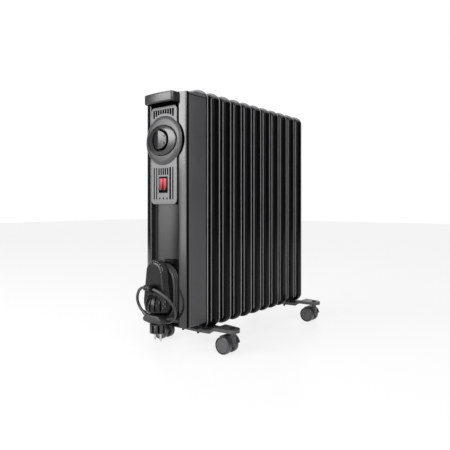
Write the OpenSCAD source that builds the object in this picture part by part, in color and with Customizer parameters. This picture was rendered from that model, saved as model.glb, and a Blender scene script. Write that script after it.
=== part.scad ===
// Oil filled radiator heater: eleven pressed fins, a control housing at one end,
// a cord winder below the controls and two foot brackets on swivel casters.
// X runs along the heater with the controls at -X, Z is up and the floor is z = 0.

/* [Fins] */
// Distance from one fin to the next
fin_pitch = 47; // [44:1:60]
// Depth of one fin's rim along the heater
fin_depth = 31; // [26:1:36]
// Width of a fin across the heater
fin_w = 142; // [130:1:160]
// Height of a fin
fin_h = 602; // [560:1:660]
// Corner radius of a fin
fin_r = 15; // [8:1:24]
// Sheet thickness of the rim
fin_sheet = 0.6; // [0.5:0.1:1.6]
// Depth of the lips that the rim turns inwards
rim_lip = 13; // [8:1:16]
// Thickness of the two welded sheets at the middle of a fin
web_t = 1; // [0.8:0.1:2.4]
// Height of the lowest edge of the fins above the floor
fin_floor = 55; // [50:1:75]
// Outer radius of the header necks that join the fins
header_r = 23; // [20:1:26]
// Wall of the header necks and oil channels
oil_wall = 0.8; // [0.6:0.1:2.5]
// Distance from a header's axis to the nearer end of the fin
header_inset = 60; // [50:1:80]
// Thickness of an oil channel along the heater
channel_t = 13; // [9:1:18]
// Width of an oil channel
channel_w = 22; // [16:1:26]
// Distance between the oil channels
channel_gap = 36; // [30:1:40]

/* [Housing] */
// Depth of the housing in front of the first fin
housing_depth = 48; // [44:1:70]
// Length of the side panels that laps over the first fin
housing_lap = 21; // [10:1:26]
// Height of the housing's lower edge above the floor
housing_floor = 75; // [70:1:84]
// Height of the housing
housing_h = 565; // [540:1:575]
// Sheet thickness of the housing
housing_t = 1; // [0.8:0.1:1.6]
// Clearance between the side panels and the first fin
lap_gap = 0.5; // [0.3:0.1:1]
// Corner radius of the housing
housing_r = 4; // [3:0.5:6]
// How far the rails stand in front of the housing's edge
rail_rise = 8; // [5:0.5:12]
// Half of the distance between the rails' front edges
rail_y = 49; // [44:1:56]
// Depth of the channel between the rails
channel_depth = 16; // [12:1:20]
// Slope of each channel wall, in width
wall_draft = 2; // [0:0.5:4]
// Sheet thickness of the front cover
cover_t = 1.2; // [1:0.1:2]

/* [Controls] */
// Width of the control panel
panel_w = 90; // [84:1:92]
// Height of the control panel
panel_h = 240; // [230:1:255]
// Height of the control panel's lower edge from the housing's top edge
panel_floor = -270; // [-280:1:-264]
// Wall of the control panel
panel_t = 2.5; // [1.6:0.1:3]
// How far the middle of the panel stands in front of the rails
panel_rise = 3; // [1:0.5:5]
// How far the panel's edges fall back from its middle
panel_sag = 1.5; // [1:0.5:5]
// Height of the thermostat's axis from the housing's top edge
dial_z = -114; // [-122:1:-108]
// Radius of the round boss under the dial
boss_r = 62; // [56:1:64]
// Gap between the boss and the rails
boss_gap = 2; // [1:0.5:3]
// How far the boss stands in front of the panel
boss_rise = 4.5; // [3:0.5:6]
// Half width of the oval dial plate
dial_half_w = 48; // [42:1:50]
// Half height of the oval dial plate
dial_half_h = 36.5; // [32:0.5:42]
// Thickness of the dial plate
dial_t = 2; // [1:0.5:3]
// Radius of the knob
knob_r = 25.4; // [20:0.2:28]
// Height of the knob at its edge
knob_edge = 5; // [4:0.5:9]
// Height of the knob's ridge over its edge
knob_ridge = 5; // [3:0.5:10]
// Radius of the thermostat's shaft
shaft_r = 3; // [2:0.5:4]
// Radial clearance of running shafts
run_gap = 0.05; // [0.02:0.01:0.1]
// Height of the switch's middle from the housing's top edge
switch_z = -222; // [-230:1:-215]
// Width of the switch frame
switch_w = 30; // [28:1:34]
// Height of the switch frame
switch_h = 40; // [36:1:44]
// Tilt of each rocker from its middle, in degrees
rocker_tilt = 8; // [4:1:10]
// Width of the cooling slots
slot_w = 3; // [2:0.5:4]

/* [Nose grip] */
// Half width of the nose grip
nose_half_w = 51; // [48:1:58]
// Height of the nose grip's front wall
nose_h = 24; // [18:1:28]
// How far the grip's middle stands in front of the rails
nose_reach = 26; // [20:1:32]
// How far the grip's ends stand in front of the rails
nose_ends = 10; // [6:1:14]
// Wall of the nose grip
nose_t = 3; // [2:0.5:4]

/* [Cord winder] */
// Height of the winder's middle above the floor
winder_z = 157.5; // [150:0.5:165]
// Radius of the winder's hub
hub_r = 38; // [34:1:40]
// Straight length of the hub between its round ends
hub_straight = 45; // [35:1:55]
// Depth of the hub in front of the channel's floor
hub_depth = 32; // [30:1:40]
// Wall of the hub and its cover
hub_t = 2.5; // [2:0.5:4]
// Half width of the winder's cover
flange_r = 40; // [38:1:46]
// Depth of the winder's cover
flange_depth = 20; // [12:1:24]
// Radius of the slotted hood on the cover
hood_r = 35; // [28:1:38]
// Diameter of the mains cord
cord_d = 7; // [6:0.5:8]
// Number of turns that lie side by side on the hub
cord_lanes = 4; // [3:1:4]

/* [Feet] */
// Half width of a foot bracket under the fins
foot_root = 29; // [26:1:34]
// Radius of a foot bracket's round ends
foot_end_r = 19; // [16:1:24]
// Distance from the heater's middle plane to a caster's pivot
pivot_y = 128; // [122:1:150]
// Plate thickness of the foot brackets
foot_t = 2.5; // [2:0.5:4]
// Depth of the skirt round a foot bracket
foot_skirt = 8.5; // [6:0.5:9]
// How far a bracket's ends are raised over its middle
foot_lift = 8.5; // [6:0.5:12]
// Distance from the fin gap that holds the U-bolt to the bracket's middle
foot_offset = 13; // [8:1:16]
// Radius of the U-bolt's rod
bolt_r = 3; // [2.5:0.5:4]
// Radius of a caster wheel
wheel_r = 22; // [18:0.5:22.5]
// Width of one caster wheel
wheel_w = 15; // [12:1:18]
// Space between the two wheels of a caster
wheel_gap = 14; // [14:0.5:18]
// Distance from a caster's pivot to its axle
caster_trail = 17; // [15:0.5:18]
// Radius of a caster's axle
axle_r = 2.5; // [2:0.5:3]
// Radius of a caster's stem
stem_r = 4; // [3:0.5:4.5]

/* [Plug] */
// Radius of the plug's round base
plug_r = 19.5; // [17:0.5:20]
// Radius of a plug pin
pin_r = 2.4; // [2:0.1:2.4]
// Length of a plug pin
pin_l = 19; // [17:1:20]
// Radius of a pin's root inside the plug
pin_root_r = 1.8; // [1.2:0.1:1.9]
// Distance between the plug's two pins
pin_gap = 19; // [18:1:20]

/* [Hidden] */
$fn = 64;

fin_count = 11;
cut = 1;

// Places along the heater
winder_reach = hub_depth - channel_depth + hood_r;
front_reach = housing_depth + rail_rise + winder_reach;
fin_gap = fin_pitch - fin_depth;
rear_reach = max(fin_depth, foot_root + foot_offset - fin_gap / 2);
length = front_reach + (fin_count - 1) * fin_pitch + rear_reach;
fin1_x = front_reach - length / 2;
seam_x = fin1_x - housing_depth;
rail_x = seam_x - rail_rise;
floor_x = rail_x + channel_depth;
panel_x = rail_x - panel_rise;
boss_x = panel_x - boss_rise;
hub_x = floor_x - hub_depth;
foot_x = [for (i = [0, fin_count - 2]) bolt_x(i) + foot_offset];

// Heights and half widths
fin_top = fin_floor + fin_h;
header_low = fin_floor + header_inset;
header_high = fin_top - header_inset;
housing_top = housing_floor + housing_h;
panel_low = housing_top + panel_floor;
dial_high = housing_top + dial_z;
switch_high = housing_top + switch_z;
inner_half = fin_w / 2 + lap_gap;
outer_half = inner_half + housing_t;
axle_z = wheel_r;

dark = [0.08, 0.08, 0.085];
coal = [0.12, 0.12, 0.125];
steel = [0.7, 0.7, 0.72];

function fin_front(i) = fin1_x + i * fin_pitch;
function bolt_x(i) = fin_front(i) + fin_depth + fin_gap / 2;

// A line moved sideways by t, with mitred corners
function unit(v) = v / norm(v);
function side_of(a, b) = let (d = unit(b - a)) [-d.y, d.x];
function moved(p, t) = [
  for (i = [0 : len(p) - 1])
    let (
      last = len(p) - 1,
      n1 = side_of(p[max(i - 1, 0)], p[max(i, 1)]),
      n2 = side_of(p[min(i, last - 1)], p[min(i + 1, last)])
    )
    p[i] + (n1 + n2) * t / (1 + n1 * n2)
];
function turned_round(p) = [for (i = [len(p) - 1 : -1 : 0]) p[i]];
function strip(p, t) = concat(p, turned_round(moved(p, t)));

// Extrudes a (Y, Z) outline along X from x
module along_x(x, l) {
  translate([x, 0, 0]) rotate([90, 0, 90]) linear_extrude(l) children();
}

// A cylinder along X
module rod_x(x, l, r) {
  translate([x, 0, 0]) rotate([0, 90, 0]) cylinder(h = l, r = r);
}

// A rectangle with round corners, centred across and standing on z = 0
module rounded(w, h, r) {
  translate([-w / 2 + r, 0]) square([w - 2 * r, h]);
  translate([-w / 2, r]) square([w, h - 2 * r]);
  for (y = [-1, 1], z = [r, h - r]) translate([y * (w / 2 - r), z]) circle(r);
}

// An upright slot shape with round ends of radius r and a straight length l
module stadium(r, l) {
  translate([-r, -l / 2]) square([2 * r, l]);
  for (z = [-1, 1]) translate([0, z * l / 2]) circle(r);
}

// --- Fins ---

module fin_outline(inset) {
  translate([0, fin_floor + inset])
    rounded(fin_w - 2 * inset, fin_h - 2 * inset, max(fin_r - inset, 2));
}

module fin_channels(t, w, x) {
  for (y = [-1, 0, 1])
    translate([x - t / 2, y * channel_gap - w / 2, header_low])
      cube([t, w, header_high - header_low]);
}

// One fin: a rim that turns inwards, a web, two header necks and three oil channels
module fin(i) {
  x = fin_front(i);
  mid = x + fin_depth / 2;
  neck_front = mid - fin_pitch / 2;
  neck_rear = i == fin_count - 1 ? mid + channel_t / 2 : mid + fin_pitch / 2;
  rear_wall = i == fin_count - 1 ? oil_wall : -cut;
  color(dark) difference() {
    union() {
      difference() {
        along_x(x, fin_depth) fin_outline(0);
        along_x(x + fin_sheet, fin_depth - 2 * fin_sheet) fin_outline(fin_sheet);
        along_x(x - cut, fin_depth + 2 * cut) fin_outline(rim_lip);
      }
      along_x(mid - web_t / 2, web_t) fin_outline(fin_sheet / 2);
      for (z = [header_low, header_high])
        translate([0, 0, z]) rod_x(neck_front, neck_rear - neck_front, header_r);
      fin_channels(channel_t, channel_w, mid);
    }
    for (z = [header_low, header_high]) {
      front_wall = i == 0 && z == header_high ? oil_wall : -cut;
      translate([0, 0, z])
        rod_x(
          neck_front + front_wall,
          neck_rear - neck_front - front_wall - rear_wall,
          header_r - oil_wall
        );
    }
    fin_channels(channel_t - 2 * oil_wall, channel_w - 2 * oil_wall, mid);
    if (i == 0)
      translate([0, 0, header_high]) rod_x(neck_front - cut, oil_wall + 2 * cut, filler_r);
  }
}

filler_r = 7;
neck_x = fin1_x + fin_depth / 2 - fin_pitch / 2;
gasket_t = 2;
element_flange_t = 5;
element_rod_r = 4;
element_spread = 9;

element_x = neck_x - gasket_t - element_flange_t;
terminal_l = 9;

// Flange with a bent rod inside the lower headers, and two terminals
module heating_element() {
  rod_l = (fin_count - 1) * fin_pitch;
  color(steel) translate([0, 0, header_low]) {
    rod_x(element_x, element_flange_t, header_r);
    for (y = [-1, 1]) translate([0, y * element_spread, 0]) {
      rod_x(element_x, rod_l, element_rod_r);
      rod_x(element_x - terminal_l, terminal_l, 2);
    }
    translate([element_x + rod_l, 0, 0])
      rotate([0, 0, -90])
        rotate_extrude(angle = 180) translate([element_spread, 0]) circle(element_rod_r);
  }
}

module element_gasket() {
  color("brown") translate([0, 0, header_low]) difference() {
    rod_x(neck_x - gasket_t, gasket_t, header_r);
    rod_x(neck_x - gasket_t - cut, gasket_t + 2 * cut, header_r - oil_wall);
  }
}

module oil_filler_plug() {
  head = 5;
  color(steel) translate([0, 0, header_high]) {
    rod_x(neck_x, oil_wall + 4, filler_r);
    translate([neck_x - head, 0, 0]) rotate([0, 90, 0]) cylinder(h = head, r = 10, $fn = 6);
  }
}

shield_t = 1;
shield_fold = 12;
shield_margin = 6;

// Folded plate that keeps the fin's heat off the controls
module heat_shield() {
  line = [
    [fin1_x - shield_fold, -inner_half], [fin1_x, -inner_half],
    [fin1_x, inner_half], [fin1_x - shield_fold, inner_half]
  ];
  z = housing_floor + housing_t + shield_margin;
  h = housing_h - 2 * (housing_t + shield_margin);
  color(steel) difference() {
    translate([0, 0, z]) linear_extrude(h) polygon(strip(line, shield_t));
    for (zc = [header_low, header_high])
      translate([0, 0, zc]) rod_x(fin1_x - shield_t - cut, shield_t + 2 * cut, header_r + 1);
  }
}

// --- Housing ---

module housing_outline(inset) {
  translate([0, housing_floor + inset])
    rounded(2 * (outer_half - inset), housing_h - 2 * inset, housing_r - inset);
}

module housing() {
  color(coal) {
    difference() {
      along_x(seam_x, housing_depth - lap_gap) housing_outline(0);
      along_x(seam_x - cut, housing_depth + 2 * cut) housing_outline(housing_t);
      for (y = screw_y) translate([screw_x, y, housing_floor - cut])
        cylinder(h = housing_t + 2 * cut, r = screw_r);
    }
    for (y = [-outer_half, inner_half])
      translate([fin1_x - 2 * lap_gap, y, housing_floor + housing_r])
        cube([housing_lap + 2 * lap_gap, housing_t, housing_h - 2 * housing_r]);
  }
}

screw_r = 2;
screw_x = seam_x + 10;
screw_y = [-50, 50];
tab_t = 2;

// Screws through the housing's floor into the tabs of the front cover
module housing_screws() {
  color(steel) for (y = screw_y) translate([screw_x, y, housing_floor]) {
    cylinder(h = housing_t + tab_t + 4, r = screw_r);
    translate([0, 0, -2.5]) cylinder(h = 2.5, r = 4);
  }
}

cover_return = 18;

// Front cover: two chamfered rails with a channel between them
module front_cover() {
  half = [
    [seam_x + cover_return, inner_half], [seam_x, inner_half],
    [rail_x, rail_y], [floor_x, rail_y - wall_draft]
  ];
  line = concat(half, [for (p = turned_round(half)) [p.x, -p.y]]);
  low = housing_floor + housing_t;
  h = housing_h - 2 * housing_t;
  cap = [
    [seam_x, inner_half], [rail_x, rail_y], [rail_x, -rail_y], [seam_x, -inner_half]
  ];
  window_h = panel_h - 2 * window_margin;
  color(coal) difference() {
    union() {
      translate([0, 0, low]) linear_extrude(h) polygon(strip(line, cover_t));
      for (z = [housing_floor, housing_top - cover_t])
        translate([0, 0, z]) linear_extrude(cover_t) polygon(cap);
      for (y = screw_y) translate([seam_x, y - 8, low]) cube([18, 16, tab_t]);
      for (y = screw_y) translate([seam_x - 1, y - 8, housing_floor]) cube([1, 16, tab_t]);
    }
    translate([0, 0, dial_high])
      rod_x(rail_x - cut, seam_x - rail_x + cut, boss_r + boss_gap);
    along_x(floor_x - cut, cover_t + 2 * cut)
      translate([0, panel_low + window_margin]) rounded(window_w, window_h, 6);
    for (y = screw_y) translate([screw_x, y, low - cut])
      cylinder(h = tab_t + 2 * cut, r = screw_r);
    for (y = [-outer_half, inner_half - housing_r],
         z = [housing_floor - cut, housing_top - housing_r])
      translate([seam_x, y, z])
        cube([cover_return + cut, housing_r + housing_t, housing_r + cut]);
    translate([0, gland_y, gland_z]) rod_x(floor_x - cut, cover_t + 2 * cut, gland_r);
  }
}

window_margin = 14;
window_w = 76;

// --- Controls ---

panel_r = 12;
panel_edge = 2;
curve_r = (pow(panel_w / 2, 2) + pow(panel_sag, 2)) / (2 * panel_sag);
slot_pitch = 7.5;
slot_top = panel_low + panel_h - 19;
lower_slots = 90;
slot_bottom = panel_low + lower_slots;
slot_lowest = panel_low + 12;

module panel_outline(inset) {
  translate([0, panel_low + inset])
    rounded(panel_w - 2 * inset, panel_h - 2 * inset, panel_r - inset);
}

// The panel's curved front, from its face to a depth behind it
module curved_front(inset, t) {
  intersection() {
    along_x(panel_x - cut, floor_x - panel_x) panel_outline(inset);
    translate([panel_x + curve_r, 0, panel_low]) difference() {
      cylinder(h = panel_h, r = curve_r, $fn = 360);
      translate([0, 0, -cut]) cylinder(h = panel_h + 2 * cut, r = curve_r - t, $fn = 360);
    }
  }
}

module slot(y, low, high, w) {
  translate([panel_x - boss_rise - cut, y - w / 2, low])
    cube([boss_rise + panel_sag + panel_t + 2 * cut, w, high - low]);
}

module panel_slots() {
  reach = boss_r + 4;
  for (i = [-4 : 4])
    slot(i * slot_pitch, dial_high + sqrt(reach * reach - pow(i * slot_pitch, 2)), slot_top, slot_w);
  for (i = [-2 : 2])
    slot(i * slot_pitch, switch_high + switch_h / 2 + 4, slot_bottom - 1, slot_w * 0.7);
  for (y = [-31, -23, 23, 31]) slot(y, slot_lowest, slot_bottom, slot_w * 0.6);
}

boss_back = seam_x - 0.5;
boss_flat = dial_half_w + 1;
boss_fall = boss_rise + 0.8;
boss_slope = boss_r - boss_flat;
boss_inner = boss_r - panel_t;

// A tray with a curved slotted face, and a round boss under the dial
module control_panel() {
  color(coal) difference() {
    union() {
      difference() {
        curved_front(0, panel_t);
        translate([0, 0, dial_high]) rod_x(panel_x - cut, panel_sag + 4 * panel_t, boss_inner);
      }
      difference() {
        along_x(panel_x + panel_sag + 1, floor_x - panel_x - panel_sag - 1) panel_outline(0);
        along_x(panel_x, floor_x - panel_x + cut) panel_outline(panel_edge);
      }
      translate([0, 0, dial_high]) rotate([0, 90, 0]) rotate_extrude() polygon([
        [0, boss_x], [boss_flat, boss_x], [boss_flat + boss_slope * 0.5, boss_x + boss_fall * 0.2],
        [boss_flat + boss_slope * 0.8, boss_x + boss_fall * 0.55], [boss_r, boss_x + boss_fall],
        [boss_r, boss_back], [boss_inner, boss_back], [boss_inner, boss_x + boss_fall + 1],
        [boss_flat, boss_x + panel_t], [0, boss_x + panel_t]
      ]);
    }
    panel_slots();
    translate([0, 0, dial_high]) {
      rod_x(boss_x - cut, boss_rise + panel_sag + 3 * panel_t, shaft_r + 2);
      for (y = [-1, 1]) translate([0, y * post_y, 0])
        rod_x(boss_x - cut, boss_rise + panel_sag + 3 * panel_t, post_screw_r);
    }
    translate([panel_x - cut, -switch_w / 2 + 2, switch_high - switch_h / 2 + 2])
      cube([panel_t + panel_sag + 2 * cut, switch_w - 4, switch_h - 4]);
  }
}

dial_hole = 27;

module dial_plate() {
  oval = [for (a = [0 : 5 : 355]) [dial_half_w * cos(a), dial_half_h * sin(a)]];
  color(coal) translate([0, 0, dial_high]) difference() {
    union() {
      along_x(boss_x - dial_t, dial_t) polygon(oval);
      translate([boss_x - dial_t, 0, 0]) rotate([0, -90, 0])
        cylinder(h = 2, r1 = dial_half_h - 2, r2 = dial_hole + 2);
    }
    rod_x(boss_x - dial_t - 2 - cut, dial_t + 2 + 2 * cut, dial_hole);
  }
}

knob_back = boss_x - 4.3;

module thermostat_knob() {
  front = knob_back - knob_edge;
  color(dark) translate([0, 0, dial_high]) difference() {
    intersection() {
      rod_x(front - knob_ridge, knob_edge + knob_ridge, knob_r);
      translate([0, 0, -knob_r]) linear_extrude(2 * knob_r) polygon([
        [knob_back, -knob_r], [front, -knob_r], [front - knob_ridge, -1.5],
        [front - knob_ridge, 1.5], [front, knob_r], [knob_back, knob_r]
      ]);
    }
    rod_x(knob_back - shaft_in, shaft_in + cut, shaft_r);
  }
}

shaft_in = 8;
body_x = floor_x - 2;
thermo_depth = 28;
thermo_w = 42;
thermo_h = 50;
post_y = 14;
post_screw_r = 2;

module thermostat_shaft() {
  color(steel) translate([0, 0, dial_high])
    rod_x(knob_back - shaft_in, body_x + 12 - knob_back + shaft_in, shaft_r);
}

module thermostat_body() {
  neck_front = boss_x + panel_t;
  color("ivory") difference() {
    union() {
      translate([body_x, -thermo_w / 2, dial_high - thermo_h / 2])
        cube([thermo_depth, thermo_w, thermo_h]);
      translate([0, 0, dial_high]) {
        rod_x(neck_front, body_x - neck_front, shaft_r + 3);
        for (y = [-1, 1]) translate([0, y * post_y, 0])
          rod_x(neck_front, body_x - neck_front, post_screw_r + 2.5);
      }
      for (z = [-12, 12]) translate([body_x + thermo_depth, -3, dial_high + z - 1])
        cube([7, 6, 1]);
    }
    translate([0, 0, dial_high]) {
      rod_x(neck_front - cut, body_x + 13 - neck_front + cut, shaft_r + run_gap);
      for (y = [-1, 1]) translate([0, y * post_y, 0])
        rod_x(neck_front - cut, body_x + 7 - neck_front + cut, post_screw_r);
    }
  }
}

module thermostat_screws() {
  color(steel) translate([0, 0, dial_high]) for (y = [-1, 1]) translate([0, y * post_y, 0]) {
    rod_x(boss_x, body_x + 7 - boss_x, post_screw_r);
    rod_x(boss_x - 2, 2, 3.6);
  }
}

switch_x = panel_x - 2;
switch_back = floor_x + 12;
bay_half_w = switch_w / 2 - 2.4;
bay_half_h = switch_h / 2 - 3.6;
rocker_pin = 1.5;
rocker_x = switch_x + 9;
rocker_half_h = 14.2;
rocker_split = 0.3;

module switch_body() {
  color(dark) difference() {
    union() {
      translate([switch_x, -switch_w / 2, switch_high - switch_h / 2])
        cube([2, switch_w, switch_h]);
      translate([switch_x, -switch_w / 2 + 2.1, switch_high - switch_h / 2 + 2.1])
        cube([switch_back - switch_x, switch_w - 4.2, switch_h - 4.2]);
      for (y = [-7, 7], z = [-10, 0, 10])
        translate([switch_back, y - 3, switch_high + z - 0.4]) cube([6, 6, 0.8]);
    }
    translate([switch_x - cut, -bay_half_w, switch_high - bay_half_h])
      cube([rocker_x - switch_x + 9 + cut, 2 * bay_half_w, 2 * bay_half_h]);
  }
  color(dark) translate([rocker_x, bay_half_w + 0.2, switch_high]) rotate([90, 0, 0])
    cylinder(h = 2 * bay_half_w + 0.4, r = rocker_pin);
}

// A rocker on its pin, tilted to rest; side is -1 for the right one and 1 for the left
module rocker(side) {
  w = bay_half_w - 2 * rocker_split;
  y = side > 0 ? rocker_split + w : -rocker_split;
  color("red") translate([rocker_x, y, switch_high]) rotate([90, 0, 0]) rotate([0, 0, rocker_tilt])
    difference() {
      linear_extrude(w) polygon([
        [-11, rocker_half_h], [-9.5, 0], [-11, -rocker_half_h],
        [-2, -rocker_half_h + 2], [4, 0], [-2, rocker_half_h - 2]
      ]);
      translate([0, 0, -cut]) cylinder(h = w + 2 * cut, r = rocker_pin + run_gap);
    }
}

block_x = fin1_x - shield_t;
cutout_drop = 40;

module thermal_cutout() {
  z = switch_high - cutout_drop;
  color("white") translate([0, 22, z]) {
    rod_x(block_x - 8, 8, 8);
    translate([block_x - 1, -14, -4]) cube([1, 28, 8]);
    for (y = [-4, 4]) translate([block_x - 14, y - 1.5, -0.4]) cube([6, 3, 0.8]);
  }
}

block_z = 285;
block_h = 44;

module terminal_block() {
  color("white") difference() {
    translate([block_x - 16, -12, block_z]) cube([16, 24, block_h]);
    for (i = [0 : 2]) translate([block_x - 16 - cut, 0, block_z + 8 + i * 14])
      rod_x(0, 7, 1.5);
  }
}

// --- Nose grip ---

nose_top = housing_top - 0.5;
nose_rise = nose_reach - nose_ends;

// A visor that bulges forwards, open below for the fingers
module nose_grip() {
  r = (pow(nose_half_w, 2) + pow(nose_rise, 2)) / (2 * nose_rise);
  front = rail_x - nose_reach;
  low = nose_top - nose_h;
  color(dark) {
    translate([0, 0, low]) difference() {
      nose_shape(front, r, 0, nose_h);
      translate([0, 0, -cut]) nose_shape(front, r, nose_t, nose_h + 2 * cut);
    }
    translate([0, 0, nose_top - nose_t]) nose_shape(front, r, nose_t / 2, nose_t);
  }
}

module nose_shape(front, r, inset, h) {
  intersection() {
    translate([front + r, 0, 0]) cylinder(h = h, r = r - inset, $fn = 180);
    translate([front, -nose_half_w + inset, 0])
      cube([nose_reach, 2 * (nose_half_w - inset), h]);
  }
}

// --- Cord and winder ---

gland_r = 5;
gland_y = -22;
winding_gap = 0.2;
gland_half = 5.5;
relief_l = 22;
gland_z = winder_z + hub_straight / 2 + hub_r + winding_gap + cord_d + gland_half;
lane_end = 1.5;

module cord_gland() {
  color(dark) translate([0, gland_y, gland_z]) {
    rod_x(floor_x + cover_t, 6, gland_r + 3);
    rod_x(floor_x - 4, cover_t + 4, gland_r);
    translate([floor_x - 12, -gland_half, -gland_half])
      cube([12, 2 * gland_half, 2 * gland_half]);
    translate([floor_x - 6, gland_half, 0]) rotate([-90, 0, 0])
      cylinder(h = relief_l, r1 = gland_half, r2 = 4.2);
  }
}

module winder_hub() {
  color(dark) translate([0, 0, winder_z]) difference() {
    along_x(hub_x, hub_depth) stadium(hub_r, hub_straight);
    along_x(hub_x - cut, hub_depth - hub_t + cut) stadium(hub_r - hub_t, hub_straight);
  }
}

flange_low = 95;
flange_high = 236;
dish_low = 113;
hood_z = 125;
flange_front = hub_x - flange_depth;
dish_inner = flange_r - hub_t;

module flange_outline(r) {
  straight = flange_high - flange_low - 2 * flange_r;
  translate([0, flange_low + flange_r + straight / 2]) stadium(r, straight);
}

module hood_shape(r, low) {
  translate([hub_x, 0, low]) cylinder(h = hood_z - low, r = r);
  translate([hub_x, 0, hood_z]) sphere(r);
}

// Cover of the winder: a deep dished flange with a slotted hood over the plug's seat
module winder_cover() {
  color(dark) difference() {
    union() {
      along_x(hub_x - hub_t, hub_t) flange_outline(flange_r);
      intersection() {
        along_x(flange_front, flange_depth) flange_outline(flange_r);
        translate([flange_front - cut, -flange_r - cut, dish_low])
          cube([flange_depth + 2 * cut, 2 * flange_r + 2 * cut, flange_high]);
      }
      intersection() {
        hood_shape(hood_r, dish_low);
        translate([hub_x - hood_r - cut, -hood_r - cut, dish_low])
          cube([hood_r + cut, 2 * hood_r + 2 * cut, 2 * hood_r]);
      }
    }
    // the dish is a shell, open behind where the hub closes it
    difference() {
      intersection() {
        along_x(flange_front + hub_t, flange_depth - hub_t + cut) flange_outline(dish_inner);
        translate([flange_front, -flange_r, dish_low + hub_t])
          cube([flange_depth + 2 * cut, 2 * flange_r, flange_high]);
      }
      hood_shape(hood_r, dish_low - cut);
    }
    intersection() {
      hood_shape(hood_r - hub_t, dish_low - cut);
      translate([hub_x - hood_r, -hood_r, dish_low - 2 * cut])
        cube([hood_r - hub_t, 2 * hood_r, 2 * hood_r]);
    }
    for (a = [-68 : 34 : 68]) translate([hub_x, 0, 0]) rotate([0, 0, a])
      translate([-hood_r - cut, -1.25, dish_low + 8]) cube([12, 2.5, 26]);
  }
}

// The wound cord as one solid, with the hub through it
module cord_winding() {
  l = cord_lanes * cord_d + 1;
  color([0.1, 0.1, 0.1]) translate([0, 0, winder_z]) difference() {
    along_x(hub_x + lane_end, l) stadium(hub_r + winding_gap + cord_d, hub_straight);
    along_x(hub_x + lane_end - cut, l + 2 * cut) stadium(hub_r + winding_gap, hub_straight);
  }
}

// The cord's route from the foot of the winding, over the hood and down to the plug
tail_route = [
  [-264, -4, 86], [-264, -17, 86], [-266, -35, 91.5], [-270, -50, 104.5], [-278, -56, 121],
  [-288, -51.5, 138], [-297.5, -38, 154], [-302, -20, 165.5], [-304, -3, 170], [-304, 14, 170.8],
  [-302, 31, 166.5], [-299, 44, 155.6], [-296, 50.8, 137.5], [-293, 50, 124.9],
  [-291, 44.8, 114.9], [-289, 36, 107]
];
tail_sides = 10;

// Points on a smooth line through p, n to each stretch
function smooth_at(a, b, c, d, t) =
  0.5 * (2 * b + (c - a) * t + (2 * a - 5 * b + 4 * c - d) * t * t
  + (3 * b - a - 3 * c + d) * t * t * t);
function smooth(p, n) = concat(
  [for (i = [0 : len(p) - 2], k = [0 : n - 1])
    smooth_at(p[max(i - 1, 0)], p[i], p[i + 1], p[min(i + 2, len(p) - 1)], k / n)],
  [p[len(p) - 1]]
);

// A tube swept along p, its rings square to the line
function heading(p, i) = unit(p[min(i + 1, len(p) - 1)] - p[max(i - 1, 0)]);
function frames(p, i, u) =
  let (h = heading(p, i), v = unit(u - (u * h) * h))
  i == len(p) - 1 ? [v] : concat([v], frames(p, i + 1, v));
module tube(p, r, sides, first_side) {
  v = frames(p, 0, first_side);
  points = [
    for (i = [0 : len(p) - 1], k = [0 : sides - 1])
      let (w = cross(heading(p, i), v[i]), a = 360 * k / sides)
      p[i] + r * (cos(a) * v[i] + sin(a) * w)
  ];
  last = (len(p) - 1) * sides;
  faces = concat(
    [[for (k = [sides - 1 : -1 : 0]) k]],
    [for (i = [0 : len(p) - 2], k = [0 : sides - 1])
      let (a = i * sides + k, b = i * sides + (k + 1) % sides)
      each [[a, b, b + sides], [a, b + sides, a + sides]]],
    [[for (k = [0 : sides - 1]) last + k]]
  );
  polyhedron(points, faces);
}

module cord_tail() {
  color([0.1, 0.1, 0.1]) tube(smooth(tail_route, 2), cord_d / 2, tail_sides, [0, 0, 1]);
}

tie_x = -303;
tie_y = -13;
tie_z = 169;
tie_w = 8;
tie_half_x = 6;
tie_half_z = 7;
tie_wall = 1.6;

// A strap that holds the loop of cord above the hood
module cord_tie() {
  color(dark) difference() {
    translate([tie_x - tie_half_x, tie_y, tie_z - tie_half_z])
      cube([flange_front - tie_x + tie_half_x, tie_w, 2 * tie_half_z]);
    translate([tie_x - tie_half_x + tie_wall, tie_y - cut, tie_z - tie_half_z + 2])
      cube([2 * (tie_half_x - tie_wall), tie_w + 2 * cut, 2 * tie_half_z - 5]);
  }
}

plug_x = -289;
plug_y = -14;
plug_low = 65;
plug_base_h = 21;
pin_in = 12;
boot_from = [19, 97];
boot_to = [36, 107];
boot_r = 5.5;

// Angled plug: a round base and a flat fan shaped head that the cord enters from one side
module plug_body() {
  z = plug_low + plug_base_h;
  color(dark) {
    difference() {
      translate([plug_x, plug_y, plug_low]) cylinder(h = plug_base_h, r = plug_r);
      for (y = [-1, 1]) translate([plug_x, plug_y + y * pin_gap / 2, plug_low - cut])
        cylinder(h = pin_in + cut, r = pin_root_r);
    }
    translate([plug_x - 12, 0, z]) rotate([90, 0, 90]) linear_extrude(24) polygon([
      [plug_y - 19, 0], [plug_y + 19, 0], [24, 3], [29, 9], [20, 19], [8, 20],
      [plug_y - 10, 20], [plug_y - 19, 12]
    ]);
    translate([plug_x, boot_from[0], boot_from[1]])
      rotate([-atan2(boot_to[0] - boot_from[0], boot_to[1] - boot_from[1]), 0, 0])
        cylinder(h = norm(boot_to - boot_from), r = boot_r);
  }
}

module plug_pins() {
  color(steel) for (y = [-1, 1])
    translate([plug_x, plug_y + y * pin_gap / 2, plug_low]) {
      translate([0, 0, -pin_l]) cylinder(h = pin_l, r = pin_r);
      cylinder(h = pin_in, r = pin_root_r);
    }
}

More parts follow.
